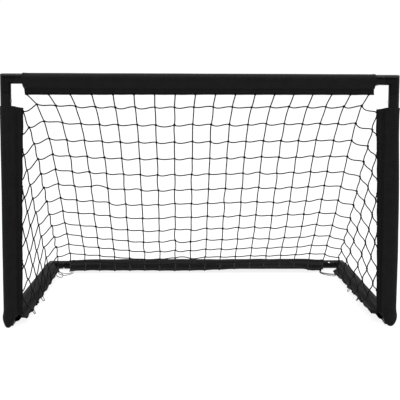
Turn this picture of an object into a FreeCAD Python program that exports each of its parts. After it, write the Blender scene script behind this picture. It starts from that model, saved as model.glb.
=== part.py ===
import FreeCAD, Part
import math
import os

# Plug-together floorball goal, in millimetres.
# +Z is up and the mouth faces -Y. The origin is on the floor under the middle of the frame.
# Tubes of the front frame and the base plug onto the spigots of six corner elbows, where
# sprung buttons lock them. Folded fabric sleeves on the tubes carry a square-mesh net.

# The frame's driving sizes, over the bare tubes
FRAME_WIDTH = 950.0
FRAME_HEIGHT = 610.0
FRAME_DEPTH = 425.0

# Tubes
TUBE_DIAMETER = 25.0
TUBE_WALL = 1.25
SHOULDER_GAP = 0.2

# Corner elbows: visible arms, measured from the corner where the tube axes cross
ARM_ACROSS = 24.0
ARM_UP = 34.0
ELBOW_CORNER_RADIUS = 7.0
SHOULDER_CHAMFER = 0.8
SPIGOT_LENGTH = 34.0
SPIGOT_CLEARANCE = 0.15
SPIGOT_WALL = 2.2
SPIGOT_LEAD_IN = 1.2
BORE_PAST_SHOULDER = 8.0

# Flat moulded pads under the four elbows that stand on the floor
PAD_DROP = 1.5
PAD_SIDE = 18.0
PAD_INSET = 4.0
PAD_ROOT = 0.2

# Sprung lock buttons, one in each spigot
BUTTON_DIAMETER = 6.4
BUTTON_FROM_SHOULDER = 18.0
BUTTON_PROUD = 2.0
BUTTON_DOME = 1.2
BUTTON_CLEARANCE = 0.06
TUBE_HOLE_CLEARANCE = 0.3
FLANGE_OVERHANG = 1.3
FLANGE_THICKNESS = 1.2
FLANGE_GAP = 0.15
REAR_BUTTON_TILT = 35.0

# Leaf springs behind the buttons
LEAF_THICKNESS = 0.6
LEAF_WIDTH = 6.0
LEAF_BEND_RADIUS = 2.5
LEAF_BEND_FROM_SHOULDER = -2.0
LEAF_GAP = 0.05
LEAF_WALL_GAP = 0.2

# Fabric sleeves: a loop round the tube and a doubled flap towards the opening
FABRIC_THICKNESS = 0.8
SLEEVE_CLEARANCE = 0.3
FLAP_REACH = 39.5
LOOP_POINT = 22.0
CROSSBAR_SLEEVE_INSET = 39.5
POST_SLEEVE_TOP_INSET = 70.5
POST_SLEEVE_BOTTOM_RISE = 8.0
SIDE_SLEEVE_FRONT_INSET = 24.0
SIDE_SLEEVE_REAR_INSET = 24.0
REAR_SLEEVE_INSET = 69.0
CROSSBAR_FLAP_SLANT = 2.0
POST_FLAP_SLANT = 5.0
SIDE_FLAP_FRONT_SLANT = 8.0
SIDE_FLAP_REAR_SLANT = 45.0
REAR_FLAP_SLANT = 6.0

# Net of square mesh
CORD_THICKNESS = 2.4
MESH_PITCH = 50.0
NET_GAP = 0.3
SMALLEST_MESH = 60.0

# The slack net's folds: each one's place as a share of the straight slope, and its sag below it
UPPER_FOLD_PLACE = 0.31
UPPER_FOLD_SAG = 35.0
MIDDLE_FOLD_PLACE = 0.54
MIDDLE_FOLD_SAG = 47.0
LOWER_FOLD_PLACE = 0.77
LOWER_FOLD_SAG = 41.0

# How far a cutting shape runs past what it cuts
OVERSHOOT = 1.0

# Worked out from the sizes above
TUBE_RADIUS = TUBE_DIAMETER / 2
TUBE_BORE_RADIUS = TUBE_RADIUS - TUBE_WALL
SPIGOT_RADIUS = TUBE_BORE_RADIUS - SPIGOT_CLEARANCE
SPIGOT_BORE_RADIUS = SPIGOT_RADIUS - SPIGOT_WALL
BUTTON_RADIUS = BUTTON_DIAMETER / 2
FLANGE_RADIUS = BUTTON_RADIUS + FLANGE_OVERHANG
CORNER_X = FRAME_WIDTH / 2 - TUBE_RADIUS
FRONT_Y = -(FRAME_DEPTH / 2 - TUBE_RADIUS)
REAR_Y = -FRONT_Y
BASE_Z = TUBE_RADIUS + PAD_DROP
TOP_Z = FRAME_HEIGHT - TUBE_RADIUS
LOOP_RADIUS = TUBE_RADIUS + SLEEVE_CLEARANCE
SLEEVE_RADIUS = LOOP_RADIUS + FABRIC_THICKNESS
CORD_HALF = CORD_THICKNESS / 2

V = FreeCAD.Vector
RIGHT = V(1, 0, 0)
BACK = V(0, 1, 0)
UP = V(0, 0, 1)
SIDES = {"left": -1, "right": 1}


def save(node, shape):
    """Writes one node's solids to its file."""
    shape.exportStep("parts/" + node + ".step")
    print(node, len(shape.Solids), "volume", round(shape.Volume, 1), "valid", shape.isValid())


def placed(shape, origin, along, across):
    """Moves a shape from local axes, x along and y across, to its place in the goal."""
    third = along.cross(across)
    matrix = FreeCAD.Matrix(
        along.x, across.x, third.x, origin.x,
        along.y, across.y, third.y, origin.y,
        along.z, across.z, third.z, origin.z,
        0, 0, 0, 1,
    )
    result = shape.copy()
    result.Placement = FreeCAD.Placement(matrix) * shape.Placement
    return result


def face_from(edges):
    """A flat face inside a closed run of edges."""
    return Part.Face(Part.Wire(edges))


def holed_face(wires):
    """A flat face inside the outermost wire, less what the wires inside it enclose."""
    return Part.makeFace(wires, "Part::FaceMakerBullseye")


def polygon(points):
    """A closed wire through the points."""
    return Part.makePolygon(points + [points[0]])


def line(start, end):
    return Part.LineSegment(start, end).toShape()


def arc(start, middle, end):
    return Part.Arc(start, middle, end).toShape()


# Corner elbows

def arm_solid(arm):
    """The visible arm and its spigot, in local axes with x along the arm."""
    body = Part.makeCylinder(TUBE_RADIUS, arm - SHOULDER_CHAMFER, V(0, 0, 0), V(1, 0, 0))
    rim = Part.makeCone(
        TUBE_RADIUS,
        TUBE_RADIUS - SHOULDER_CHAMFER,
        SHOULDER_CHAMFER,
        V(arm - SHOULDER_CHAMFER, 0, 0),
        V(1, 0, 0),
    )
    straight = SPIGOT_LENGTH - SPIGOT_LEAD_IN
    spigot = Part.makeCylinder(SPIGOT_RADIUS, arm + straight, V(0, 0, 0), V(1, 0, 0))
    nose = Part.makeCone(
        SPIGOT_RADIUS, SPIGOT_RADIUS - SPIGOT_LEAD_IN / 2, SPIGOT_LEAD_IN,
        V(arm + straight, 0, 0), V(1, 0, 0),
    )
    return body.fuse([rim, spigot, nose])


def arm_cut(arm):
    """The spigot's bore and the hole that its button slides in."""
    start = arm - BORE_PAST_SHOULDER
    depth = BORE_PAST_SHOULDER + SPIGOT_LENGTH + OVERSHOOT
    bore = Part.makeCylinder(SPIGOT_BORE_RADIUS, depth, V(start, 0, 0), V(1, 0, 0))
    hole = Part.makeCylinder(
        BUTTON_RADIUS + BUTTON_CLEARANCE,
        TUBE_RADIUS,
        V(arm + BUTTON_FROM_SHOULDER, 0, 0),
        V(0, 1, 0),
    )
    return bore.fuse(hole)


def corner_limit(reach):
    """A prism that rounds the outer corner, local x and y along the two arms."""
    r = TUBE_RADIUS
    c = ELBOW_CORNER_RADIUS
    middle = -r + c * (1 - math.sqrt(0.5))
    edges = [
        line(V(-r + c, -r, -r), V(reach, -r, -r)),
        line(V(reach, -r, -r), V(reach, reach, -r)),
        line(V(reach, reach, -r), V(-r, reach, -r)),
        line(V(-r, reach, -r), V(-r, -r + c, -r)),
        arc(V(-r, -r + c, -r), V(middle, middle, -r), V(-r + c, -r, -r)),
    ]
    return face_from(edges).extrude(V(0, 0, 2 * r))


def make_elbow(corner, arms, stands):
    """arms lists, for each of the two arms, its direction, its button's direction and length."""
    (first, first_button, first_arm), (second, second_button, second_arm) = arms
    body = placed(arm_solid(first_arm), corner, first, first_button)
    body = body.fuse(placed(arm_solid(second_arm), corner, second, second_button))
    full = 2 * TUBE_RADIUS
    across_first = Part.makeCylinder(TUBE_RADIUS, full, corner - first * TUBE_RADIUS, first)
    across_second = Part.makeCylinder(TUBE_RADIUS, full, corner - second * TUBE_RADIUS, second)
    body = body.fuse(across_first.common(across_second))
    reach = max(first_arm, second_arm) + SPIGOT_LENGTH + TUBE_RADIUS
    body = body.common(placed(corner_limit(reach), corner, first, second))
    for direction, button, arm in arms:
        body = body.cut(placed(arm_cut(arm), corner, direction, button))
    if stands:
        body = body.fuse(floor_pad(corner, arms))
    return body.removeSplitter()


def floor_pad(corner, arms):
    """A flat square pad, moved towards the level arms, whose sides run up into the round underside."""
    centre = V(corner.x, corner.y, 0)
    for direction, _, _ in arms:
        centre = centre + V(direction.x, direction.y, 0) * PAD_INSET
    low = V(centre.x - PAD_SIDE / 2, centre.y - PAD_SIDE / 2, 0)
    rise = TUBE_RADIUS - math.sqrt(TUBE_RADIUS ** 2 - (PAD_SIDE / 2) ** 2)
    return Part.makeBox(PAD_SIDE, PAD_SIDE, PAD_DROP + rise + PAD_ROOT, low)


# Lock buttons and their leaf springs, in an arm's local axes

def button_level():
    """Height of the flange's outer face above the spigot's axis, just under the bore's wall."""
    return math.sqrt(SPIGOT_BORE_RADIUS ** 2 - FLANGE_RADIUS ** 2) - FLANGE_GAP


def make_button(arm):
    """A flanged pin with a domed head, turned about local y."""
    top = TUBE_RADIUS + BUTTON_PROUD
    seat = button_level()
    bottom = seat - FLANGE_THICKNESS
    shoulder = top - BUTTON_DOME
    dome_radius = (BUTTON_RADIUS ** 2 + BUTTON_DOME ** 2) / (2 * BUTTON_DOME)
    half = BUTTON_RADIUS / 2
    half_height = top - dome_radius + math.sqrt(dome_radius ** 2 - half ** 2)
    edges = [
        line(V(0, bottom, 0), V(FLANGE_RADIUS, bottom, 0)),
        line(V(FLANGE_RADIUS, bottom, 0), V(FLANGE_RADIUS, seat, 0)),
        line(V(FLANGE_RADIUS, seat, 0), V(BUTTON_RADIUS, seat, 0)),
        line(V(BUTTON_RADIUS, seat, 0), V(BUTTON_RADIUS, shoulder, 0)),
        arc(V(BUTTON_RADIUS, shoulder, 0), V(half, half_height, 0), V(0, top, 0)),
        line(V(0, top, 0), V(0, bottom, 0)),
    ]
    pin = face_from(edges).revolve(V(0, 0, 0), V(0, 1, 0), 360)
    pin.translate(V(arm + BUTTON_FROM_SHOULDER, 0, 0))
    return pin


def make_leaf(arm):
    """A V-shaped strip: one leg on the bore's far wall, a round bend, one leg under the button."""
    t = LEAF_THICKNESS / 2
    low = -math.sqrt(SPIGOT_BORE_RADIUS ** 2 - (LEAF_WIDTH / 2) ** 2) + LEAF_WALL_GAP + t
    high = button_level() - FLANGE_THICKNESS - LEAF_GAP - t
    button = arm + BUTTON_FROM_SHOULDER
    bend = V(arm + LEAF_BEND_FROM_SHOULDER, low + LEAF_BEND_RADIUS, 0)
    knee = V(button - FLANGE_RADIUS, high, 0)
    tip = button + FLANGE_RADIUS
    reach = knee - bend
    slope = math.atan2(reach.y, reach.x) - math.asin(LEAF_BEND_RADIUS / reach.Length)
    normal = V(-math.sin(slope), math.cos(slope), 0)
    mitre = (normal + V(0, 1, 0)) * (1 / (1 + normal.y))
    outer = LEAF_BEND_RADIUS + t
    inner = LEAF_BEND_RADIUS - t
    back = V(-1, 0, 0)
    edges = [
        line(V(tip, low - t, 0), V(bend.x, low - t, 0)),
        arc(V(bend.x, low - t, 0), bend + back * outer, bend + normal * outer),
        line(bend + normal * outer, knee + mitre * t),
        line(knee + mitre * t, V(tip, high + t, 0)),
        line(V(tip, high + t, 0), V(tip, high - t, 0)),
        line(V(tip, high - t, 0), knee - mitre * t),
        line(knee - mitre * t, bend + normal * inner),
        arc(bend + normal * inner, bend + back * inner, V(bend.x, low + t, 0)),
        line(V(bend.x, low + t, 0), V(tip, low + t, 0)),
        line(V(tip, low + t, 0), V(tip, low - t, 0)),
    ]
    strip = face_from(edges).extrude(V(0, 0, LEAF_WIDTH))
    strip.translate(V(0, 0, -LEAF_WIDTH / 2))
    return strip


# Tubes

def make_tube(start, end, first_arm, first_button, last_arm, last_button):
    """A tube between two corners, cut back to the elbows' shoulders, with its button holes."""
    along = (end - start).normalize()
    low = start + along * (first_arm + SHOULDER_GAP)
    high = end - along * (last_arm + SHOULDER_GAP)
    length = (high - low).Length
    tube = Part.makeCylinder(TUBE_RADIUS, length, low, along)
    tube = tube.cut(Part.makeCylinder(TUBE_BORE_RADIUS, length, low, along))
    hole_radius = BUTTON_RADIUS + TUBE_HOLE_CLEARANCE
    first_hole = start + along * (first_arm + BUTTON_FROM_SHOULDER)
    last_hole = end - along * (last_arm + BUTTON_FROM_SHOULDER)
    for centre, button in ((first_hole, first_button), (last_hole, last_button)):
        tube = tube.cut(Part.makeCylinder(hole_radius, 2 * TUBE_RADIUS, centre, button))
    return tube


# Fabric sleeves, in local axes with x along the tube and y towards the flap

def tangent_angle():
    return math.asin(LOOP_RADIUS / LOOP_POINT)


def loop_hole():
    """The inside of the sleeve: round the tube, then drawn to a point at the seam."""
    a = tangent_angle()
    y = LOOP_RADIUS * math.sin(a)
    z = LOOP_RADIUS * math.cos(a)
    edges = [
        arc(V(0, y, z), V(0, -LOOP_RADIUS, 0), V(0, y, -z)),
        line(V(0, y, -z), V(0, LOOP_POINT, 0)),
        line(V(0, LOOP_POINT, 0), V(0, y, z)),
    ]
    return Part.Wire(edges)


def sleeve_outline():
    """The outside of the sleeve: the loop, its throat and the doubled flap."""
    a = tangent_angle()
    y = SLEEVE_RADIUS * math.sin(a)
    z = SLEEVE_RADIUS * math.cos(a)
    flap = FABRIC_THICKNESS
    throat = LOOP_POINT + FABRIC_THICKNESS / math.sin(a) - flap / math.tan(a)
    edges = [
        arc(V(0, y, z), V(0, -SLEEVE_RADIUS, 0), V(0, y, -z)),
        line(V(0, y, -z), V(0, throat, -flap)),
        line(V(0, throat, -flap), V(0, FLAP_REACH, -flap)),
        line(V(0, FLAP_REACH, -flap), V(0, FLAP_REACH, flap)),
        line(V(0, FLAP_REACH, flap), V(0, throat, flap)),
        line(V(0, throat, flap), V(0, y, z)),
    ]
    return Part.Wire(edges)


def make_sleeve(start, along, flap, length, first_slant, last_slant):
    """A sleeve from start, whose flap is cut slanting at each end."""
    cloth = holed_face([sleeve_outline(), loop_hole()]).extrude(V(length, 0, 0))
    edge = SLEEVE_RADIUS + OVERSHOOT
    far = FLAP_REACH + OVERSHOOT
    first_far = first_slant * (far - TUBE_RADIUS) / (FLAP_REACH - TUBE_RADIUS)
    last_far = last_slant * (far - TUBE_RADIUS) / (FLAP_REACH - TUBE_RADIUS)
    corners = [
        V(0, -edge, -edge),
        V(length, -edge, -edge),
        V(length, TUBE_RADIUS, -edge),
        V(length - last_far, far, -edge),
        V(first_far, far, -edge),
        V(0, TUBE_RADIUS, -edge),
    ]
    pattern = Part.Face(polygon(corners)).extrude(V(0, 0, 2 * edge))
    return placed(cloth.common(pattern), start, along, flap)


# Net panels, holed sheets as thick as the cord

def cord_lines(first, last):
    """Evenly spaced centre lines of cords, from the first to the last."""
    count = max(1, round((last - first) / MESH_PITCH))
    return [first + (last - first) * i / count for i in range(count + 1)]


def gaps(across, along):
    """The four corners of each gap among cords that lie on these centre lines."""
    found = []
    for low_x, high_x in zip(across, across[1:]):
        for low_y, high_y in zip(along, along[1:]):
            found.append([
                V(low_x + CORD_HALF, low_y + CORD_HALF, 0),
                V(high_x - CORD_HALF, low_y + CORD_HALF, 0),
                V(high_x - CORD_HALF, high_y - CORD_HALF, 0),
                V(low_x + CORD_HALF, high_y - CORD_HALF, 0),
            ])
    return found


def clipped(points, base, inward):
    """The part of a polygon on the inward side of a line through base."""
    kept = []
    for i, point in enumerate(points):
        before = points[i - 1]
        depth = (point - base).dot(inward)
        depth_before = (before - base).dot(inward)
        if depth * depth_before < 0:
            kept.append(before + (point - before) * (depth_before / (depth_before - depth)))
        if depth >= 0:
            kept.append(point)
    return kept


def area(points):
    """Area of a flat polygon in local x and y."""
    total = 0.0
    for i, point in enumerate(points):
        before = points[i - 1]
        total += before.x * point.y - point.x * before.y
    return abs(total) / 2


def net_line():
    """Side view of the slack net, from the crossbar's flap to the rear bar's, along its middle."""
    top = V(0, FRONT_Y, TOP_Z - FLAP_REACH)
    rear = V(0, REAR_Y - FLAP_REACH, BASE_Z)
    slope = (rear - top).normalize()
    length = (rear - top).Length
    belly = slope.cross(RIGHT)
    folds = [
        top + slope * (length * UPPER_FOLD_PLACE) + belly * UPPER_FOLD_SAG,
        top + slope * (length * MIDDLE_FOLD_PLACE) + belly * MIDDLE_FOLD_SAG,
        top + slope * (length * LOWER_FOLD_PLACE) + belly * LOWER_FOLD_SAG,
    ]
    first = (folds[0] - top).normalize()
    last = (rear - folds[-1]).normalize()
    top = top - V(0, 0, NET_GAP + CORD_HALF * first.y)
    rear = rear - V(0, NET_GAP - CORD_HALF * last.z, 0)
    return [top] + folds + [rear]


def thick_line(points):
    """Outline of a side view made as thick as the cord, square at its ends and mitred at its folds."""
    normals = [(end - start).normalize().cross(RIGHT) for start, end in zip(points, points[1:])]
    upper = []
    lower = []
    for point, before, after in zip(points, normals[:1] + normals, normals + normals[-1:]):
        offset = (before + after) * (CORD_HALF / (1 + before.dot(after)))
        upper.append(point - offset)
        lower.append(point + offset)
    return upper + lower[::-1]


def side_net_x():
    return CORNER_X - FLAP_REACH - NET_GAP - CORD_HALF


def make_back_net():
    """The panel from the crossbar's flap to the rear bar's, folded where its slack lets it down."""
    points = net_line()
    half_width = side_net_x() - CORD_HALF - NET_GAP
    profile = [point - RIGHT * half_width for point in thick_line(points)]
    sheet = Part.Face(polygon(profile)).extrude(RIGHT * (2 * half_width))
    across = cord_lines(CORD_HALF - half_width, half_width - CORD_HALF)
    depth = CORD_THICKNESS + 2 * OVERSHOOT
    last_facet = len(points) - 2
    holes = []
    for i, (start, end) in enumerate(zip(points, points[1:])):
        low = CORD_HALF if i == 0 else 0
        high = (end - start).Length - (CORD_HALF if i == last_facet else 0)
        for gap in gaps(across, cord_lines(low, high)):
            hole = Part.Face(polygon(gap)).extrude(V(0, 0, depth))
            hole.translate(V(0, 0, -depth / 2))
            holes.append(placed(hole, start, RIGHT, (end - start).normalize()))
    return sheet.cut(holes)


def make_side_net(side):
    """A flat panel under the back panel's edge, with its meshes square to the straight slope."""
    points = net_line()
    top = points[0]
    slope = (points[-1] - top).normalize()
    inward = slope.cross(RIGHT)
    corners = []
    for point in points + [V(0, FRONT_Y, BASE_Z)]:
        corners.append(V((point - top).dot(slope), (point - top).dot(inward), 0))
    folded = corners[:-1]
    front = corners[-1]
    middle = (folded[0] + folded[-1] + front) * (1 / 3)
    columns = cord_lines(CORD_HALF, front.y - CORD_HALF)
    stops = [CORD_HALF] + [fold.x for fold in folded[1:-1]] + [folded[-1].x - CORD_HALF]
    holes = []
    for i in range(len(stops) - 1):
        edges = [(folded[i], folded[i + 1]), (folded[-1], front), (front, folded[0])]
        for gap in gaps(cord_lines(stops[i], stops[i + 1]), columns):
            for start, end in edges:
                along = (end - start).normalize()
                normal = V(-along.y, along.x, 0)
                if normal.dot(middle - start) < 0:
                    normal = normal * -1
                gap = clipped(gap, start + normal * CORD_THICKNESS, normal)
            if len(gap) > 2 and area(gap) > SMALLEST_MESH:
                holes.append(gap)
    face = holed_face([polygon(corners)] + [polygon(hole) for hole in holes])
    panel = face.extrude(V(0, 0, CORD_THICKNESS))
    panel.translate(V(0, 0, -CORD_HALF))
    return placed(panel, V(side * side_net_x(), top.y, top.z), slope, inward)


# The assembly

def tilted(side):
    """Direction of a rear bar button: forward, turned up on the right and down on the left."""
    angle = math.radians(REAR_BUTTON_TILT) * side
    return V(0, -math.cos(angle), math.sin(angle))


def corner_arms():
    """For each elbow: its corner, whether it stands on the floor, and its named arms."""
    found = {}
    for name, side in SIDES.items():
        inward = V(-side, 0, 0)
        top = V(side * CORNER_X, FRONT_Y, TOP_Z)
        front = V(side * CORNER_X, FRONT_Y, BASE_Z)
        rear = V(side * CORNER_X, REAR_Y, BASE_Z)
        found[name + "_top"] = (top, False, {
            "crossbar": (inward, UP * -1, ARM_ACROSS),
            "post": (UP * -1, inward, ARM_UP),
        })
        found[name + "_front"] = (front, True, {
            "post": (UP, inward, ARM_UP),
            "base": (BACK, inward, ARM_ACROSS),
        })
        found[name + "_rear"] = (rear, True, {
            "base": (BACK * -1, inward, ARM_ACROSS),
            "rear": (inward, tilted(side), ARM_ACROSS),
        })
    return found


def build_corners():
    for name, (corner, stands, arms) in corner_arms().items():
        save(name + "_elbow", make_elbow(corner, list(arms.values()), stands))
        for tube, (direction, button, arm) in arms.items():
            where = name + "_" + tube
            save(where + "_button", placed(make_button(arm), corner, direction, button))
            save(where + "_leaf_spring", placed(make_leaf(arm), corner, direction, button))


def build_tubes():
    x = CORNER_X
    top_left = V(-x, FRONT_Y, TOP_Z)
    top_right = V(x, FRONT_Y, TOP_Z)
    down = UP * -1
    save("crossbar_tube", make_tube(top_left, top_right, ARM_ACROSS, down, ARM_ACROSS, down))
    rear_left = V(-x, REAR_Y, BASE_Z)
    rear_right = V(x, REAR_Y, BASE_Z)
    save("rear_tube", make_tube(rear_left, rear_right, ARM_ACROSS, tilted(-1), ARM_ACROSS, tilted(1)))
    for name, side in SIDES.items():
        inward = V(-side, 0, 0)
        foot = V(side * x, FRONT_Y, BASE_Z)
        head = V(side * x, FRONT_Y, TOP_Z)
        back = V(side * x, REAR_Y, BASE_Z)
        save(name + "_post_tube", make_tube(foot, head, ARM_UP, inward, ARM_UP, inward))
        save(name + "_base_tube", make_tube(foot, back, ARM_ACROSS, inward, ARM_ACROSS, inward))


def build_sleeves():
    half = CORNER_X - CROSSBAR_SLEEVE_INSET
    start = V(-half, FRONT_Y, TOP_Z)
    slant = CROSSBAR_FLAP_SLANT
    save("crossbar_sleeve", make_sleeve(start, RIGHT, UP * -1, 2 * half, slant, slant))
    half = CORNER_X - REAR_SLEEVE_INSET
    start = V(-half, REAR_Y, BASE_Z)
    slant = REAR_FLAP_SLANT
    save("rear_sleeve", make_sleeve(start, RIGHT, BACK * -1, 2 * half, slant, slant))
    post_start = BASE_Z + POST_SLEEVE_BOTTOM_RISE
    post_length = TOP_Z - POST_SLEEVE_TOP_INSET - post_start
    base_length = REAR_Y - SIDE_SLEEVE_REAR_INSET - FRONT_Y - SIDE_SLEEVE_FRONT_INSET
    for name, side in SIDES.items():
        inward = V(-side, 0, 0)
        x = side * CORNER_X
        foot = V(x, FRONT_Y, post_start)
        slant = POST_FLAP_SLANT
        sleeve = make_sleeve(foot, UP, inward, post_length, slant, slant)
        past = SLEEVE_RADIUS + OVERSHOOT
        arm = Part.makeCylinder(LOOP_RADIUS, past, V(x, FRONT_Y, BASE_Z), BACK)
        save(name + "_post_sleeve", sleeve.cut(arm))
        start = V(x, FRONT_Y + SIDE_SLEEVE_FRONT_INSET, BASE_Z)
        sleeve = make_sleeve(start, BACK, inward, base_length, SIDE_FLAP_FRONT_SLANT, SIDE_FLAP_REAR_SLANT)
        save(name + "_base_sleeve", sleeve)


def build_nets():
    save("back_net", make_back_net())
    for name, side in SIDES.items():
        save(name + "_side_net", make_side_net(side))


os.makedirs("parts", exist_ok=True)
build_corners()
build_tubes()
build_sleeves()
build_nets()
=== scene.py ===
import math
import random

import bpy
import numpy as np
from mathutils import Matrix, Vector, noise


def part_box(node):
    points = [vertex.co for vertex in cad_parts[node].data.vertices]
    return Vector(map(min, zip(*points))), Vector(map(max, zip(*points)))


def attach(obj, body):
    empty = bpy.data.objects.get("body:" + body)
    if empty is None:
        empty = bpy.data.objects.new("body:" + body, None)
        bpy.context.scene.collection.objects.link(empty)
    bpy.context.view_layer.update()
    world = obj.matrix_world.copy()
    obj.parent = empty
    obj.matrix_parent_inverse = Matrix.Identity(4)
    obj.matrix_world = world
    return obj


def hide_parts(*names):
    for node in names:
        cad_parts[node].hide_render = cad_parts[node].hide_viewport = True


# Looks of the floorball goal: dressed sleeves, knotted net, finishes, floor, light and camera.
# Metres throughout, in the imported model's frame: the mouth faces -Y and the floor is z = 0.

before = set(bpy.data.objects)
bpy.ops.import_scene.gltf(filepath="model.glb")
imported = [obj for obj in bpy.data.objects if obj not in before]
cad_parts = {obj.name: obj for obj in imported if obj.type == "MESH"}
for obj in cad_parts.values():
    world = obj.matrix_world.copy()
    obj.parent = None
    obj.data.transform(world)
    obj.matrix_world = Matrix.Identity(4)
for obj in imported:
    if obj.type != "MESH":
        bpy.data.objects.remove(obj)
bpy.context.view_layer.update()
BODY = "frame"
SIDES = {"left": -1, "right": 1}


def middle(node):
    low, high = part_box(node)
    return (low + high) / 2


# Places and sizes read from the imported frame
TUBE_RADIUS = (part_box("crossbar_tube")[1].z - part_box("crossbar_tube")[0].z) / 2
CORNER_X = middle("right_post_tube").x
FRONT_Y = middle("crossbar_tube").y
TOP_Z = middle("crossbar_tube").z
REAR_Y = middle("rear_tube").y
BASE_Z = middle("rear_tube").z
FLAP_REACH = TOP_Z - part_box("crossbar_sleeve")[0].z
EDGE_X = CORNER_X - FLAP_REACH
EDGE_TOP_Z = TOP_Z - FLAP_REACH
EDGE_REAR_Y = REAR_Y - FLAP_REACH

# The photograph's camera, worked out from the frame's edges in its 400 pixel square
PHOTO_PIXELS = 400
FOCAL_PIXELS = 535.0
PRINCIPAL_PIXEL_X = 196.3
PRINCIPAL_PIXEL_Y = 120.0
CAMERA_AT = Vector((-0.035, -1.476, 0.579))
CAMERA_YAW = math.radians(1.07)
CAMERA_PITCH = math.radians(3.52)
CAMERA_ROLL = math.radians(0.21)
SENSOR = 36.0

# Fabric sleeves
CLOTH = 0.0008
FLOOR_GAP = 0.0006
LOOP_RADIUS = 0.0132
SEAM_REACH = 0.0242
LAYER = 0.00046
WEB_BILLOW = 0.0016
STATION_STEP = 0.0042
FLAP_POINTS, WEB_POINTS, ARC_POINTS = 7, 9, 13
BINDING_WIDTH = 0.0021
BINDING_HEIGHT = 0.00165
HEM = 0.009
CROSSBAR_TRIM = (0.0015, 0.0075)
REAR_LONGER = (0.003, 0.010)
POST_RISE = {-1: 0.0055, 1: 0.0040}
BASE_FORWARD = 0.011
BASE_SLANT = {-1: 0.024, 1: 0.014}
STITCH_LENGTH = 0.0030
STITCH_PITCH = 0.0042
STITCH_RADIUS = 0.00032
STITCHES_LEFT_OUT = 4
STITCH_PROUD = 0.0002
STITCH_ARCH = 0.00015
HEM_SWELL = 0.0005
LEAST_LIFT = -0.0001
DROOP_POWER = 2.2
FLARE_LENGTH = 0.02
PUFF_START, PUFF_FULL = 0.012, 0.055
EDGE_ROUGHNESS = 0.0004
BINDING_INSET = 0.0008
BINDING_LIFT = 0.0002

# How far the net turns each flap round its tube: places along the sleeve in metres, and degrees
CROSSBAR_PULL = ((0.0, 18.0), (0.846, 18.0))
REAR_PULL = (
    (0.0, -9.0), (0.15, -6.0), (0.30, -6.5), (0.40, -7.5), (0.48, -6.0), (0.55, 2.0), (0.60, 5.0),
    (0.70, 5.0), (0.73, -1.0), (0.755, -9.0), (0.80, -10.0),
)
POST_PULL = ((0.0, 4.0), (0.505, 2.0))
SIDE_PULL = {
    -1: ((0.0, 1.0), (0.037, -1.0), (0.177, -2.0), (0.237, 2.0), (0.324, 8.0)),
    1: ((0.0, 13.0), (0.057, 9.0), (0.117, 6.5), (0.177, 4.0), (0.241, 1.0), (0.281, -6.0), (0.331, -14.0)),
}
# How far the flap's free edge stands from the tube's middle where the net has gathered it
CROSSBAR_REACH = ((0.0, 0.0391), (0.846, 0.0368))
POST_REACH = {
    -1: (
        (0.0, 0.0306), (0.040, 0.0308), (0.163, 0.0321), (0.285, 0.0338), (0.406, 0.0365), (0.477, 0.0388),
        (0.510, 0.0395),
    ),
    1: (
        (0.0, 0.0278), (0.037, 0.0281), (0.162, 0.0305), (0.285, 0.0335), (0.407, 0.0365), (0.455, 0.0392),
        (0.510, 0.0395),
    ),
}
# How far the right post's loop of cloth stands out from its tube
RIGHT_POST_BULGE = ((0.0, 0.0050), (0.161, 0.0055), (0.285, 0.0045), (0.456, 0.0003))

# Net
CORD_RADIUS = 0.00148
KNOT_RADIUS = 0.0029
KNOT_STRETCH = 1.15
KNOT_FLATNESS = 0.8
KNOT_GROOVE = 0.16
KNOT_WIND = 3.2
CORD_RINGS = 11
CORD_SIDES = 8
LOOP_RINGS = 19
STRAND_PITCH = 0.0075
COLUMNS = 18
ROWS = 13
COLUMN_PITCH = 0.04308
ROW_PITCH = 0.04510
FIRST_ROW = 0.0323
TOP_LEFT_X = -0.4167
TOP_PITCH_LEFT = 0.0521
TOP_PITCH_RIGHT = 0.0447
REAR_HALF = 0.395
POST_TOP = 0.5199
POST_LOW = 0.0249
SIDE_FRONT_Y = -0.170
SIDE_REAR_Y = 0.1115
LAST_ROW = 15.18
# The row and column where each side panel crosses the top of its post, its foot and its rear corner
POST_START = (1.0, 1.0)
FOOT_CORNER = {-1: (10.07, 6.47), 1: (10.05, 6.03)}
SIDE_END = {-1: (14.09, 1.0), 1: (14.31, 1.0)}
CORNER_CELL = {-1: 0.0377, 1: 0.0411}
NEXT_CELL = {-1: 0.0411, 1: 0.0370}
SIDE_CURL = 0.34
SIDE_ROW_LEAN = 1.4
LEAN_FOR_SLACK = 2.5
MOST_SLACK = 0.08
TINY = 1e-6
# Cords with more spare length than the rest: how much further each leans at its first and last knot
LOOSE_CORDS = {
    ((6, 2), (6, 3)): (-1.9, 5.0),
    ((7, 3), (7, 4)): (1.9, -2.0),
    ((8, 3), (8, 4)): (1.5, -1.5),
    ((11, 7), (11, 8)): (2.6, 1.0),
    ((12, 7), (12, 8)): (-1.6, 4.0),
    ((10, 7), (10, 8)): (1.4, -1.0),
    ((9, 16), (9, 17)): (1.6, -1.0),
}

# Loops of spare tying thread: the sleeve and place where each starts and ends, its drop and how far it
# stands off
THREAD_RADIUS = 0.0009
THREAD_LIFT = 0.0003
THREAD_LOOPS = (
    ("left_base", -0.060, "left_base", -0.050, 0.012, 0.006),
    ("left_base", -0.143, "left_base", -0.133, 0.011, 0.005),
    ("left_base", 0.108, "left_base", 0.136, 0.014, 0.016),
    ("left_base", 0.138, "rear", -0.386, 0.012, 0.010),
    ("left_base", 0.140, "rear", -0.390, 0.008, 0.004),
    ("right_base", -0.015, "right_base", -0.008, 0.009, 0.004),
    ("right_base", -0.090, "right_base", -0.083, 0.008, 0.004),
    ("rear", 0.384, "right_base", 0.138, 0.012, 0.018),
    ("rear", 0.386, "right_base", 0.142, 0.012, 0.010),
    ("rear", 0.388, "right_base", 0.146, 0.008, 0.004),
)


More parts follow.
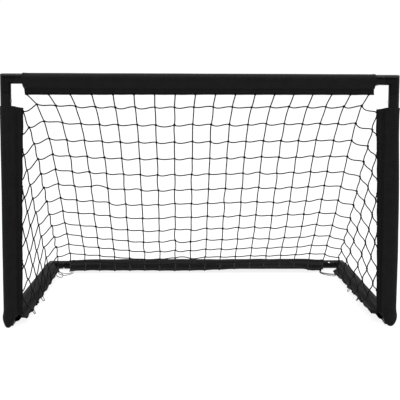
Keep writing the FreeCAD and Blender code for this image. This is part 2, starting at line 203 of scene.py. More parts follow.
# Node trees

class Look:
    """A material, and short calls that add nodes to its tree."""

    def __init__(self, name):
        self.material = bpy.data.materials.new(name)
        self.material.use_nodes = True
        self.tree = self.material.node_tree
        self.shader = self.tree.nodes["Principled BSDF"]

    def add(self, kind, inputs=None, **settings):
        node = self.tree.nodes.new("ShaderNode" + kind)
        for key, value in settings.items():
            setattr(node, key, value)
        for key, value in (inputs or {}).items():
            self.put(node, key, value)
        return node

    def put(self, node, key, value):
        if isinstance(value, bpy.types.NodeSocket):
            self.tree.links.new(value, node.inputs[key])
        else:
            node.inputs[key].default_value = value

    def shade(self, **values):
        for key, value in values.items():
            self.put(self.shader, key.replace("_", " "), value)

    def place(self, kind="Object"):
        return self.add("TexCoord").outputs[kind]

    def grain(self, vector, scale, detail=3.0, roughness=0.55):
        return self.add("TexNoise", {
            "Vector": vector, "Scale": scale, "Detail": detail, "Roughness": roughness,
        }).outputs["Fac"]

    def ramp(self, factor, stops):
        node = self.add("ValToRGB", {"Fac": factor})
        points = node.color_ramp.elements
        for i, (position, grey) in enumerate(stops):
            point = points[i] if i < 2 else points.new(position)
            point.position = position
            point.color = (*grey, 1.0) if hasattr(grey, "__len__") else (grey, grey, grey, 1.0)
        return node.outputs["Color"]

    def spread(self, factor, low, high):
        return self.add("MapRange", {"Value": factor, "To Min": low, "To Max": high}).outputs["Result"]

    def bump(self, height, distance, strength=1.0, normal=None):
        inputs = {"Height": height, "Distance": distance, "Strength": strength}
        if normal is not None:
            inputs["Normal"] = normal
        return self.add("Bump", inputs).outputs["Normal"]

    def times(self, first, second):
        node = self.add("Math", operation="MULTIPLY")
        self.put(node, 0, first)
        self.put(node, 1, second)
        return node.outputs["Value"]


def paint_look():
    """Black gloss powder coat with a little orange peel and dust."""
    look = Look("tube_paint")
    at = look.place()
    blotch = look.grain(at, 22.0)
    peel = look.grain(at, 900.0, detail=1.5)
    look.shade(
        Base_Color=look.ramp(blotch, [(0.3, 0.002), (0.75, 0.004)]),
        Roughness=look.spread(blotch, 0.16, 0.26),
        Normal=look.bump(peel, 0.00004, 0.6),
        Specular_IOR_Level=0.09,
        Coat_Weight=0.03,
        Coat_Roughness=0.08,
    )
    return look.material


def plastic_look():
    """Satin black moulded plastic, finely textured."""
    look = Look("elbow_plastic")
    at = look.place()
    blotch = look.grain(at, 30.0)
    texture = look.grain(at, 1700.0, detail=2.0)
    scuff = look.grain(at, 260.0, detail=5.0)
    look.shade(
        Base_Color=look.ramp(scuff, [(0.35, 0.002), (0.8, 0.004)]),
        Roughness=look.spread(blotch, 0.17, 0.28),
        Normal=look.bump(texture, 0.00005, 0.7),
        Specular_IOR_Level=0.085,
    )
    return look.material


def steel_look(name, bright, rough):
    look = Look(name)
    at = look.place()
    scratch = look.add("TexNoise", {
        "Vector": look.add("Mapping", {"Vector": at, "Scale": (1.0, 1.0, 0.08)}).outputs["Vector"],
        "Scale": 2600.0, "Detail": 2.0,
    }).outputs["Fac"]
    look.shade(
        Base_Color=look.ramp(scratch, [(0.3, bright * 0.85), (0.7, bright)]),
        Roughness=look.spread(scratch, rough, rough + 0.12),
        Normal=look.bump(scratch, 0.00001, 0.5),
        Metallic=1.0,
    )
    return look.material


def fabric_look(name, dark, light, weave=0.00085):
    """Black woven polyester: a plain weave in the piece's own cloth coordinates, dust and rubbed ridges."""
    look = Look(name)
    cloth = look.place("UV")
    at = look.place()
    scale = math.pi / (10.0 * weave)
    warp = look.add("TexWave", {"Vector": cloth, "Scale": scale}, bands_direction="X").outputs["Fac"]
    weft = look.add("TexWave", {"Vector": cloth, "Scale": scale}, bands_direction="Y").outputs["Fac"]
    threads = look.times(look.spread(warp, -1.0, 1.0), look.spread(weft, -1.0, 1.0))
    cover = look.grain(at, 55.0, detail=4.0)
    lint = look.grain(at, 700.0, detail=3.0, roughness=0.7)
    creases = look.grain(at, 130.0, detail=3.0)
    first = look.bump(creases, 0.0006, 0.35)
    colour = look.add("MixRGB", {
        "Fac": look.spread(lint, 0.0, 0.6),
        "Color1": look.ramp(cover, [(0.3, dark), (0.72, light)]),
        "Color2": (light * 1.5, light * 1.5, light * 1.55, 1.0),
    }).outputs["Color"]
    look.shade(
        Base_Color=colour,
        Roughness=look.spread(cover, 0.5, 0.68),
        Normal=look.bump(threads, 0.00012, 0.55, first),
        Specular_IOR_Level=0.06,
        Sheen_Weight=0.006,
        Sheen_Roughness=0.45,
        Sheen_Tint=(0.75, 0.77, 0.8, 1.0),
    )
    return look.material


def cord_look(name, dark, light):
    """Laid synthetic cord: strands wind round it once in every unit of the first coordinate."""
    look = Look(name)
    turns = look.place("UV")
    at = look.place()
    strands_round = 3
    strands = look.add("TexWave", {
        "Vector": turns, "Scale": math.pi * strands_round / 5.0,
    }, bands_direction="DIAGONAL").outputs["Fac"]
    fuzz = look.grain(at, 1500.0, detail=3.0, roughness=0.7)
    wear = look.grain(at, 90.0, detail=3.0)
    look.shade(
        Base_Color=look.ramp(wear, [(0.3, dark), (0.75, light)]),
        Roughness=look.spread(fuzz, 0.5, 0.75),
        Normal=look.bump(strands, 0.0004, 0.7, look.bump(fuzz, 0.0001, 0.4)),
        Specular_IOR_Level=0.06,
    )
    return look.material


def floor_look():
    """A pale studio table that is lit through from below, so that shadows on it stay faint."""
    look = Look("studio_floor")
    at = look.place()
    look.shade(
        Base_Color=look.ramp(look.grain(at, 3.0), [(0.3, 0.155), (0.7, 0.165)]),
        Roughness=0.9,
        Specular_IOR_Level=0.05,
        Emission_Color=(1.0, 1.0, 1.0, 1.0),
        Emission_Strength=0.87,
    )
    return look.material


# Pieces

def make_piece(name, vertices, faces, material, uvs=None, smooth=True):
    """A mesh piece in the row frame that rides on the frame. uvs holds one pair for each face corner."""
    mesh = bpy.data.meshes.new(name)
    mesh.from_pydata([tuple(v) for v in vertices], [], faces)
    if uvs is not None:
        layer = mesh.uv_layers.new(name="Cloth")
        layer.data.foreach_set("uv", np.array(uvs, float).ravel())
    mesh.update()
    piece = bpy.data.objects.new(name, mesh)
    bpy.context.scene.collection.objects.link(piece)
    mesh.materials.append(material)
    if smooth:
        mesh.polygons.foreach_set("use_smooth", [True] * len(mesh.polygons))
    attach(piece, BODY)
    return piece


class Mesh:
    """Collects vertices, faces and texture coordinates for one piece."""

    def __init__(self):
        self.vertices = []
        self.faces = []
        self.uvs = []

    def tube(self, points, width, sides=CORD_SIDES, flat=1.0, up=None):
        """A round skin along points, of one radius. flat squeezes it along the up direction."""
        count = len(points)
        start = len(self.vertices)
        run = 0.0
        guide = up
        runs = []
        for i, point in enumerate(points):
            before = points[i - 1] if i else point
            after = points[i + 1] if i < count - 1 else point
            along = (after - before).normalized()
            if guide is None:
                guide = along.orthogonal()
            guide = (guide - along * guide.dot(along)).normalized()
            across = along.cross(guide)
            for k in range(sides):
                turn = 2 * math.pi * k / sides
                rise = width * flat * math.sin(turn)
                self.vertices.append(point + across * (width * math.cos(turn)) + guide * rise)
            if i:
                run += (point - points[i - 1]).length
            runs.append(run / STRAND_PITCH)
        for i in range(count - 1):
            j = i + 1
            near, far = runs[i], runs[j]
            here, there = start + i * sides, start + j * sides
            for k in range(sides):
                m = (k + 1) % sides
                self.faces.append((here + k, here + m, there + m, there + k))
                low, high = k / sides, (k + 1) / sides
                self.uvs += [(near, low), (near, high), (far, high), (far, low)]
        self.cap([start + k for k in range(sides)][::-1])
        self.cap([start + (count - 1) * sides + k for k in range(sides)])

    def cap(self, ring):
        self.faces.append(tuple(ring))
        self.uvs += [(0.0, 0.0)] * len(ring)

    def lump(self, centre, along, across, size, rings=6, sides=10, twist=0.0):
        """A knot: a squat ball, wider along its cord, with the grooves of the turns that it is tied from."""
        normal = along.cross(across).normalized()
        start = len(self.vertices)
        half = size * KNOT_STRETCH
        poles = [centre - along * half, centre + along * half]
        for i in range(1, rings):
            lean = math.pi * i / rings
            for k in range(sides):
                turn = 2 * math.pi * k / sides
                groove = 1 + KNOT_GROOVE * math.cos(2 * turn + KNOT_WIND * lean + twist)
                reach = size * math.sin(lean) * groove
                point = centre - along * (half * math.cos(lean))
                rise = reach * KNOT_FLATNESS * math.sin(turn)
                self.vertices.append(point + across * (reach * math.cos(turn)) + normal * rise)
        first = len(self.vertices)
        self.vertices += poles
        for i in range(rings - 2):
            for k in range(sides):
                m = (k + 1) % sides
                a, b = start + i * sides, start + (i + 1) * sides
                self.faces.append((a + k, a + m, b + m, b + k))
                u, v, w, x = i / rings, (i + 1) / rings, k / sides, (k + 1) / sides
                self.uvs += [(u, w), (u, x), (v, x), (v, w)]
        last = start + (rings - 2) * sides
        for k in range(sides):
            m = (k + 1) % sides
            self.faces.append((first, start + m, start + k))
            self.faces.append((first + 1, last + k, last + m))
            self.uvs += [(0.0, 0.0)] * 6

    def piece(self, name, material, slot):
        return make_piece(name, self.vertices, self.faces, material, self.uvs)


# Fabric sleeves

def hermite(a, b, lean_a, lean_b, t):
    """A point on the cubic from a to b that leaves along lean_a and arrives along lean_b."""
    s = 1 - t
    return a * (s * s * (1 + 2 * t)) + lean_a * (t * s * s) + b * (t * t * (3 - 2 * t)) - lean_b * (t * t * s)


def smooth(x, low, high):
    t = min(1.0, max(0.0, (x - low) / (high - low)))
    return t * t * (3 - 2 * t)


def at_place(pairs, place):
    """The value at a place, on the straight lines through pairs of place and value."""
    for (low, first), (high, second) in zip(pairs, pairs[1:]):
        if place <= high:
            return between(first, second, min(1.0, max(0.0, (place - low) / (high - low))))
    return pairs[-1][1]


def between(start, end, share):
    return start + (end - start) * share


class Sleeve:
    """A strip of cloth folded round a tube and sewn along a seam into a doubled flap.

    Along runs with the tube and flap points from its axis to the free edge. slants say how far the
    flap's two ends lie inside the loop's ends. pull says how far the net turns the flap round the
    tube, and towards which side of the third direction. face says which of the two layers the camera
    sees. fold is the height of the loop's folds, wave the bend of the flap's edge, and scallop how far
    the edge is drawn back between cords. On the face, notch lets the far layer end short, droop lets
    the loop hang lower at its start, flare opens it there, and puff lifts it off its tube. bulge and
    reach hold pairs of place and how far the loop stands out and the free edge stands from the axis."""

    def __init__(self, name, start, along, flap, length, slants, seed, face, pull, towards,
                 fold=0.0009, wave=0.0015, scallop=0.0, edge_cells=18, notch=0.0, flare=0.0,
                 bulge=((0.0, 0.0),), reach=((0.0, FLAP_REACH),), droop=0.0, puff=0.0):
        self.name = name
        self.pull, self.towards, self.bulge, self.reach = pull, towards, bulge, reach
        self.start, self.along, self.flap = start, along, flap
        self.third = along.cross(flap)
        self.length, self.slants = length, slants
        self.seed, self.face = seed, face
        self.fold, self.wave, self.scallop, self.edge_cells = fold, wave, scallop, edge_cells
        self.notch, self.flare, self.droop, self.puff = notch, flare, droop, puff
        tangent = math.acos(LOOP_RADIUS / SEAM_REACH)
        self.touch = Vector((LOOP_RADIUS * math.cos(tangent), LOOP_RADIUS * math.sin(tangent)))
        self.tangent = tangent
        self.profile = self.half_profile()
        self.width = 2 * sum((b - a).length for (a, _), (b, _) in zip(self.profile, self.profile[1:]))

    def half_profile(self):
        """Points of one layer from the flap's free edge to the far side of the tube, each with
        how loose the cloth is there."""
        points = []
        for i in range(FLAP_POINTS):
            t = i / FLAP_POINTS
            points.append((Vector((FLAP_REACH + (SEAM_REACH - FLAP_REACH) * t, LAYER)), 0.0))
        seam = Vector((SEAM_REACH, LAYER))
        out = (self.touch - seam).normalized()
        out = Vector((-out.y, out.x))
        if out.y < 0:
            out = -out
        for i in range(WEB_POINTS):
            t = i / WEB_POINTS
            bulge = WEB_BILLOW * math.sin(math.pi * t) ** 1.2
            points.append((seam.lerp(self.touch, t) + out * bulge, math.sin(math.pi * t)))
        for i in range(ARC_POINTS):
            t = i / (ARC_POINTS - 1)
            turn = self.tangent + (math.pi - self.tangent) * t
            loose = 0.55 * (1 - t) + 0.18
            points.append((Vector((LOOP_RADIUS * math.cos(turn), LOOP_RADIUS * math.sin(turn))), loose))
        return points

    def edge_shift(self, s):
        """How far the flap's edge is drawn back between two cords of the net."""
        cell = self.length / self.edge_cells
        inside = math.sin(math.pi * s / cell) ** 2
        rough = noise.noise(Vector((s * 31.0, self.seed, 4.0)))
        return -self.scallop * inside * (1 + 0.6 * rough) + EDGE_ROUGHNESS * rough

    def lift(self, s, from_end, index, side, loose, z):
        """How far folds, hem, flare and puff raise the loop's cloth off its plain profile."""
        place = Vector((s * 9.0, index * 0.34, self.seed + 3.1 * side))
        fine = Vector((s * 34.0, index * 0.21, self.seed - 5.3 * side))
        long_fold = noise.noise(place) + 0.45 * noise.noise(fine)
        ridge = 1 - abs(noise.noise(Vector((s * 4.0, index * 0.62, self.seed + 11.0 * side)))) * 2.2
        lift = max(LEAST_LIFT, self.fold * loose * (0.55 + long_fold + 0.8 * max(0.0, ridge)))
        lift += HEM_SWELL * (1 - smooth(from_end, HEM * 0.75, HEM))
        lift += self.flare * (1 - smooth(s, 0.0, FLARE_LENGTH)) * (0.4 + loose)
        if side == self.face:
            uneven = 0.8 + 0.5 * noise.noise(Vector((s * 14.0, 1.0, self.seed)))
            uneven *= smooth(from_end, PUFF_START, PUFF_FULL)
            lift += self.puff * uneven * smooth(z, 0.2 * LOOP_RADIUS, LOOP_RADIUS)
        return lift

    def local(self, share, index, side):
        """The cloth's middle at a station's share of the length, a profile point and a layer."""
        flat, loose = self.profile[index]
        y, z = flat.x, flat.y
        lean = max(0.0, (y - SEAM_REACH) / (FLAP_REACH - SEAM_REACH))
        slant = max(0.0, (y - TUBE_RADIUS) / (FLAP_REACH - TUBE_RADIUS))
        back = smooth(-side * self.face * z, 0.0, LOOP_RADIUS)
        toward_face = max(0.0, side * self.face * z / LOOP_RADIUS)
        droop = self.droop * toward_face ** DROOP_POWER if y < LOOP_RADIUS else 0.0
        low = self.slants[0] * slant + self.notch * back - droop
        high = self.length - self.slants[1] * slant
        s = low + (high - low) * share
        on_flap = index < FLAP_POINTS
        outwards = Vector((y, z)) if index >= FLAP_POINTS + WEB_POINTS else Vector((0.25, 1.0))
        lift = 0.0 if on_flap else self.lift(s, min(share, 1 - share) * self.length, index, side, loose, z)
        point = Vector((y, z)) + outwards.normalized() * lift
        point.x -= at_place(self.bulge, s) * smooth(-y, -LOOP_RADIUS * 0.5, LOOP_RADIUS)
        if y > LOOP_RADIUS:
            drawn_in = (at_place(self.reach, s) - LOOP_RADIUS) / (FLAP_REACH - LOOP_RADIUS)
            point.x = LOOP_RADIUS + (point.x - LOOP_RADIUS) * drawn_in
        if lean > 0:
            bend = self.wave * lean * lean * noise.noise(Vector((s * 7.5, 2.0, self.seed)))
            point.y += side * bend
            point.x += self.edge_shift(s) * lean
        return Vector((s, point.x, point.y * side))

    def world(self, local):
        turn = self.towards * math.radians(at_place(self.pull, local.x))
        flap = local.y * math.cos(turn) - local.z * math.sin(turn)
        third = local.y * math.sin(turn) + local.z * math.cos(turn)
        point = self.start + self.along * local.x + self.flap * flap + self.third * third
        point.z = max(point.z, FLOOR_GAP)
        return point

    def on_face(self, share, index, side, proud=0.0):
        """A point on the cloth's outer surface."""
        local = self.local(share, index, side)
        return self.world(Vector((local.x, local.y, local.z + side * (CLOTH / 2 + proud))))

    def stations(self):
        return max(8, round(self.length / STATION_STEP))

    def cloth(self, material):
        half = len(self.profile)
        around = [(i, 1) for i in range(half)] + [(i, -1) for i in range(half - 2, -1, -1)]
        count = self.stations()
        vertices, uvs = [], []
        across = [0.0]
        for (i, _), (j, _) in zip(around, around[1:]):
            across.append(across[-1] + (self.profile[i][0] - self.profile[j][0]).length)
        for n in range(count + 1):
            for index, side in around:
                vertices.append(self.world(self.local(n / count, index, side)))
        faces = []
        width = len(around)
        for n in range(count):
            for k in range(width - 1):
                a = n * width + k
                faces.append((a, a + 1, a + width + 1, a + width))
                u, v = n / count * self.length, (n + 1) / count * self.length
                uvs += [(u, across[k]), (u, across[k + 1]), (v, across[k + 1]), (v, across[k])]
        piece = make_piece(self.name + "_cloth", vertices, faces, material, uvs)
        solid = piece.modifiers.new("Thickness", "SOLIDIFY")
        solid.thickness = CLOTH
        solid.offset = 0.0
        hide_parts(self.name)
        return piece

    def edge_line(self):
        """The binding's centre line along the free edge, from end to end."""
        count = self.stations()
        line = []
        for n in range(count + 1):
            front = self.local(n / count, 0, 1)
            back = self.local(n / count, 0, -1)
            centre = (front + back) / 2
            point = self.world(Vector((centre.x, centre.y - BINDING_INSET, centre.z)))
            point.z = max(point.z, BINDING_WIDTH + BINDING_LIFT)
            line.append(point)
        return line

    def edge_at(self, coordinate):
        """The free edge's point at a coordinate of the row frame that runs along the tube."""
        place = coordinate - self.start.dot(self.along)
        slanted = self.length - self.slants[0] - self.slants[1]
        share = min(1.0, max(0.0, (place - self.slants[0]) / slanted))
        return self.world((self.local(share, 0, 1) + self.local(share, 0, -1)) / 2)

    def stitch_rows(self, mesh):
        """Lockstitch along the seam and just inside the binding, on both faces."""
        count = int(self.length / STITCH_PITCH) - STITCHES_LEFT_OUT
        half = STITCH_LENGTH / 2 / self.length
        for index in (FLAP_POINTS - 1, 1):
            for side in (1, -1):
                for n in range(count):
                    share = (n + (STITCHES_LEFT_OUT + 1) / 2) * STITCH_PITCH / self.length
                    points = [self.on_face(share + d, index, side, STITCH_PROUD) for d in (-half, 0, half)]
                    points[1] += self.third * (side * STITCH_ARCH)
                    mesh.tube(points, STITCH_RADIUS, sides=5)


def make_sleeves():
    right, back, up = Vector((1, 0, 0)), Vector((0, 1, 0)), Vector((0, 0, 1))
    sleeves = {}
    low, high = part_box("crossbar_sleeve")
    left_end, right_end = low.x + CROSSBAR_TRIM[0], high.x - CROSSBAR_TRIM[1]
    sleeves["crossbar"] = Sleeve(
        "crossbar_sleeve", Vector((left_end, FRONT_Y, TOP_Z)), right, -up, right_end - left_end,
        (0.0005, -0.003), 3.7, -1, CROSSBAR_PULL, 1, fold=0.0007, wave=0.0016, scallop=0.0003,
        reach=CROSSBAR_REACH,
    )
    low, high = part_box("rear_sleeve")
    sleeves["rear"] = Sleeve(
        "rear_sleeve", Vector((low.x - REAR_LONGER[0], REAR_Y, BASE_Z)), right, -back,
        high.x - low.x + sum(REAR_LONGER), (0.002, 0.016), 8.2, -1, REAR_PULL, -1, fold=0.0013,
        wave=0.004, scallop=0.0014, edge_cells=17, puff=0.0036,
    )
    for name, side in SIDES.items():
        inward = Vector((-side, 0, 0))
        low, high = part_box(name + "_post_sleeve")
        sleeves[name + "_post"] = Sleeve(
            name + "_post_sleeve", Vector((side * CORNER_X, FRONT_Y, low.z)), up, inward,
            high.z + POST_RISE[side] - low.z,
            (0.005, 0.004), 1.3 + 7 * side, side, POST_PULL, -side, fold=0.0016, wave=0.0018,
            scallop=0.0007, edge_cells=10, notch=0.0065, flare=0.0026, droop=0.0215,
            bulge=RIGHT_POST_BULGE if side > 0 else ((0.0, 0.0),), reach=POST_REACH[side],
        )
        low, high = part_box(name + "_base_sleeve")
        sleeves[name + "_base"] = Sleeve(
            name + "_base_sleeve", Vector((side * CORNER_X, low.y - BASE_FORWARD, BASE_Z)), back, inward,
            high.y - low.y + BASE_FORWARD, (-0.006, BASE_SLANT[side]), 5.9 + 9 * side, side,
            SIDE_PULL[side], side, fold=0.0014, wave=0.0022, scallop=0.0034, edge_cells=8,
        )
    return sleeves


# The net: knots in a grid of rows and columns, hung by relaxing the cords between them

def row_run(row):
    """Length of cord from the crossbar's flap down to a row, which may lie between two knots."""
    return FIRST_ROW * row if row <= 1 else FIRST_ROW + ROW_PITCH * (row - 1)


class Net:
    """Columns 0 to 17 lie in the back panel. Lower and higher ones turn the corner into the sides."""

    def __init__(self, sleeves):
        self.sleeves = sleeves
        self.index = {}
        self.places = []
        self.held = []
        self.cords = []
        self.top_x = [TOP_LEFT_X]
        for c in range(COLUMNS - 1):
            self.top_x.append(self.top_x[-1] + between(TOP_PITCH_LEFT, TOP_PITCH_RIGHT, c / (COLUMNS - 2)))
        self.rear_x = [between(-REAR_HALF, REAR_HALF, c / (COLUMNS - 1)) for c in range(COLUMNS)]
        self.lay_back()
        for side, edge in ((-1, 0), (1, COLUMNS - 1)):
            self.lay_side(side, edge)
        self.relax()

    def knot(self, key, place, held=False):
        if key not in self.index:
            self.index[key] = len(self.places)
            self.places.append(place)
            self.held.append(held)
        return key

    def cord(self, a, b, length, kind):
        self.cords.append((a, b, length, kind))

    def guess(self, row, column):
        """A first place for a knot, on the flat panels."""
        share = row_run(row) / row_run(LAST_ROW)
        inner = min(max(column, 0), COLUMNS - 1)
        over = abs(column - inner)
        x = between(self.top_x[inner], self.rear_x[inner], share)
        if over:
            x = math.copysign(EDGE_X, column)
        y = between(FRONT_Y, EDGE_REAR_Y, share) - 0.033 * over
        z = between(EDGE_TOP_Z, BASE_Z, share) - 0.022 * over
        return Vector((x, y, z))

    def lay_back(self):
        for c in range(COLUMNS):
            before = self.knot(("top", c), self.sleeves["crossbar"].edge_at(self.top_x[c]), True)
            for r in range(1, ROWS + 1):
                here = self.knot((r, c), self.guess(r, c))
                self.cord(before, here, row_run(r) - row_run(r - 1), "column")
                before = here
            end = self.knot(("rear", c), self.sleeves["rear"].edge_at(self.rear_x[c]), True)
            self.cord(before, end, row_run(LAST_ROW) - row_run(ROWS), "column")
        for r in range(1, ROWS + 1):
            for c in range(COLUMNS - 1):
                self.cord((r, c), (r, c + 1), COLUMN_PITCH, "row")

    def lay_side(self, side, edge):
        """A side panel, whose rows and columns end at the lines of the post and the side bar."""
        post_row, post_column = POST_START
        foot_row, foot_column = FOOT_CORNER[side]
        end_row, end_column = SIDE_END[side]
        cells = {1: CORNER_CELL[side], 2: NEXT_CELL[side]}
        word = "left" if side < 0 else "right"

        def on_post(row):
            share = (row - post_row) / (foot_row - post_row)
            return self.sleeves[word + "_post"].edge_at(between(POST_TOP, POST_LOW, share))

        def on_side(row):
            share = (row - foot_row) / (end_row - foot_row)
            return self.sleeves[word + "_base"].edge_at(between(SIDE_FRONT_Y, SIDE_REAR_Y, share))

        steps = range(1, math.ceil(foot_column))
        for d in steps:
            share = (d - post_column) / (foot_column - post_column)
            first = between(post_row, foot_row, share)
            share = (d - foot_column) / (end_column - foot_column)
            last = between(foot_row, end_row, share)
            before = self.knot(("post", side, d), on_post(first), True)
            run = row_run(first)
            for r in range(1, ROWS + 1):
                if first + 0.02 < r < last - 0.02:
                    here = self.knot((r, edge + side * d), self.guess(r, edge + side * d))
                    self.cord(before, here, row_run(r) - run, "column")
                    before, run = here, row_run(r)
            end = self.knot(("side", side, d), on_side(last), True)
            self.cord(before, end, row_run(last) - run, "column")
        for r in range(1, ROWS + 1):
            if r <= foot_row:
                reach = between(post_column, foot_column, (r - post_row) / (foot_row - post_row))
                end = on_post(r)
            elif r <= end_row:
                reach = between(foot_column, end_column, (r - foot_row) / (end_row - foot_row))
                end = on_side(r)
            else:
                continue
            before, passed = (r, edge), 0
            for d in steps:
                if d < reach - 0.02 and (r, edge + side * d) in self.index:
                    self.cord(before, (r, edge + side * d), cells.get(d, COLUMN_PITCH), "row")
                    before, passed = (r, edge + side * d), d
            if r == post_row:
                last = ("post", side, 1)
            else:
                last = self.knot(("row end", side, r), end, True)
            self.cord(before, last, (reach - passed) * cells.get(passed + 1, COLUMN_PITCH), "row")

    def relax(self, steps=2600, carry=0.985, gain=0.12, slack_push=0.05, weight=0.000024, row_pull=0.114):
        """Moves the free knots until the pull of the cords and their weight balance."""
        draw = random.Random(11)
        a = np.array([self.index[c[0]] for c in self.cords])
        b = np.array([self.index[c[1]] for c in self.cords])
        rest = np.array([c[2] * (1 + draw.gauss(0, 0.012)) for c in self.cords])
        pull = np.array([1.0 if c[3] == "column" else row_pull for c in self.cords])
        places = np.array([tuple(p) for p in self.places])
        free = ~np.array(self.held)
        before = places.copy()
        count = len(places)
        for _ in range(steps):
            gap = places[b] - places[a]
            length = np.linalg.norm(gap, axis=1)
            stretch = length - rest
            force = gap * (np.where(stretch > 0, pull, slack_push) * stretch / length)[:, None]
            total = np.stack([
                np.bincount(a, force[:, i], count) - np.bincount(b, force[:, i], count) for i in range(3)
            ], 1)
            total[:, 2] -= weight
            after = places + (places - before) * carry + total * gain
            before, places = places, np.where(free[:, None], after, places)
        self.places = [Vector(p) for p in places]
        self.rest = rest

    def place(self, key):
        return self.places[self.index[key]]


def net_region(a, b):
    """Which node's panel a cord belongs to."""
    columns = []
    for key in (a, b):
        if isinstance(key[0], int):
            columns.append(key[1])
        elif key[0] in ("top", "rear"):
            columns.append(key[1])
        else:
            columns.append(-1 if key[1] < 0 else COLUMNS)
    if min(columns) < 0:
        return "left_side_net"
    if max(columns) > COLUMNS - 1:
        return "right_side_net"
    return "back_net"


def net_ways(net):
    """Which way the rows and the columns run at each knot."""
    ways = {}
    for a, b, _, kind in net.cords:
        way = (net.place(b) - net.place(a)).normalized()
        for key in (a, b):
            ways.setdefault(key, {"row": Vector(), "column": Vector()})
            if kind == "row" and net_region(a, b) == "left_side_net":
                ways[key][kind] -= way
            else:
                ways[key][kind] += way
    return ways


def cord_lean(leans, key, tip, kind, region):
    """How far a cord leans off its straight line at a knot. tip is 0 at its first knot and 1 at its last."""
    if kind == "column":
        return leans[key][2] + (0.0 if region == "back_net" else SIDE_CURL)
    if region == "left_side_net":
        return -leans[key][1 - tip] * SIDE_ROW_LEAN
    return leans[key][tip] * (1.0 if region == "back_net" else SIDE_ROW_LEAN)


def cord_points(net, cord, rest, leans, ways):
    """Points along a cord, which leaves its knots at a lean and sags by its spare length."""
    a, b, _, kind = cord
    start, end = net.place(a), net.place(b)
    gap = end - start
    length = gap.length
    slack = max(0.0, rest - length) / length
    other = "column" if kind == "row" else "row"
    tangents = []
    for tip, key in enumerate((a, b)):
        turn = ways[key][other]
        turn = turn.normalized() if turn.length > TINY else Vector((0, 0, -1 if kind == "row" else 0))
        amount = cord_lean(leans, key, tip, kind, net_region(a, b))
        amount *= (1 + LEAN_FOR_SLACK * slack) * LOOSE_CORDS.get((a, b), (1.0, 1.0))[tip]
        tangents.append(gap + turn * (amount * length))
    sag = 0.35 * length * math.sqrt(0.375 * min(slack, MOST_SLACK))
    points = []
    for i in range(CORD_RINGS):
        t = i / (CORD_RINGS - 1)
        point = hermite(start, end, tangents[0], tangents[1], t)
        point.z -= sag * 4 * t * (1 - t)
        points.append(point)
    return points


def add_knot(mesh, centre, row_way, column_way, size, twist):
    """A knot laid with its cords. At an end of the net only one of the two ways is known."""
    if row_way.length < TINY or column_way.length < TINY:
        row_way = row_way if row_way.length > TINY else column_way.orthogonal()
        column_way = column_way if column_way.length > TINY else row_way.orthogonal()
    along = row_way.normalized()
    across = (column_way - along * column_way.dot(along)).normalized()
    mesh.lump(centre, along, across, size, twist=twist)


def draw_net(net, material):
    """Cords that leave their knots at a lean, so that they lie in a slack wave, and the knots."""
    draw = random.Random(29)
    meshes = {"back_net": Mesh(), "left_side_net": Mesh(), "right_side_net": Mesh()}
    ways = net_ways(net)
    leans = {}
    for key in net.index:
        leans[key] = (draw.gauss(0.52, 0.12), draw.gauss(0.14, 0.14), draw.gauss(0.0, 0.08))
    for cord, rest in zip(net.cords, net.rest):
        points = cord_points(net, cord, rest, leans, ways)
        meshes[net_region(cord[0], cord[1])].tube(points, CORD_RADIUS)
    for key in net.index:
        size = KNOT_RADIUS * draw.uniform(0.88, 1.12)
        twist = draw.uniform(0, 6.28)
        mesh = meshes[net_region(key, key)]
        add_knot(mesh, net.place(key), ways[key]["row"], ways[key]["column"], size, twist)
    for name, mesh in meshes.items():
        piece = mesh.piece(name + "_cords", material, "net_cord")
        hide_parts(name)


def draw_loops(sleeves, material):
    """Thin loops of thread that hang from a flap's edge and rest on the floor."""
    mesh = Mesh()
    for key, place, last_key, last_place, drop, off in THREAD_LOOPS:
        start, end = sleeves[key].edge_at(place), sleeves[last_key].edge_at(last_place)
        along = end - start
        outward = Vector((-math.copysign(1, start.x), 0, 0)) if key == last_key else Vector((0, -1, 0))
        points = []
        for i in range(LOOP_RINGS):
            t = i / (LOOP_RINGS - 1)
            swell = math.sin(math.pi * t)
            point = start.lerp(end, t) - along * (0.2 * math.sin(2 * math.pi * t))
            point += outward * (off * swell ** 1.3) - Vector((0, 0, drop * swell ** 0.8))
            point.z = max(point.z, THREAD_RADIUS + THREAD_LIFT)
            points.append(point)
        mesh.tube(points, THREAD_RADIUS, sides=6)
    mesh.piece("tying_thread_loops", material, "net_cord")


def draw_bindings(sleeves, material):
    for sleeve in sleeves.values():
        mesh = Mesh()
        flat = BINDING_HEIGHT / BINDING_WIDTH
        mesh.tube(sleeve.edge_line(), BINDING_WIDTH, sides=10, flat=flat, up=sleeve.third)
        mesh.piece(sleeve.name + "_edge_binding", material, "sleeve_fabric")


def draw_stitches(sleeves, material):
    for sleeve in sleeves.values():
        mesh = Mesh()
        sleeve.stitch_rows(mesh)
        mesh.piece(sleeve.name + "_stitching", material, "sleeve_fabric")


# Stage, light and camera

FLOOR_SIZE = 28.0


def make_floor():
    half = FLOOR_SIZE / 2
    corners = [(-half, -half, 0), (half, -half, 0), (half, half, 0), (-half, half, 0)]
    mesh = bpy.data.meshes.new("floor")
    mesh.from_pydata(corners, [], [(0, 1, 2, 3)])
    floor = bpy.data.objects.new("floor", mesh)
    mesh.materials.append(floor_look())
    bpy.context.scene.collection.objects.link(floor)


def area_light(name, at, target, width, height, power):
    light = bpy.data.lights.new(name, "AREA")
    light.shape = "RECTANGLE"
    light.size, light.size_y = width, height
    light.energy = power
    lamp = bpy.data.objects.new(name, light)
    lamp.location = at
    lamp.rotation_mode = "QUATERNION"
    lamp.rotation_quaternion = (Vector(target) - Vector(at)).to_track_quat("-Z", "Y")
    bpy.context.scene.collection.objects.link(lamp)


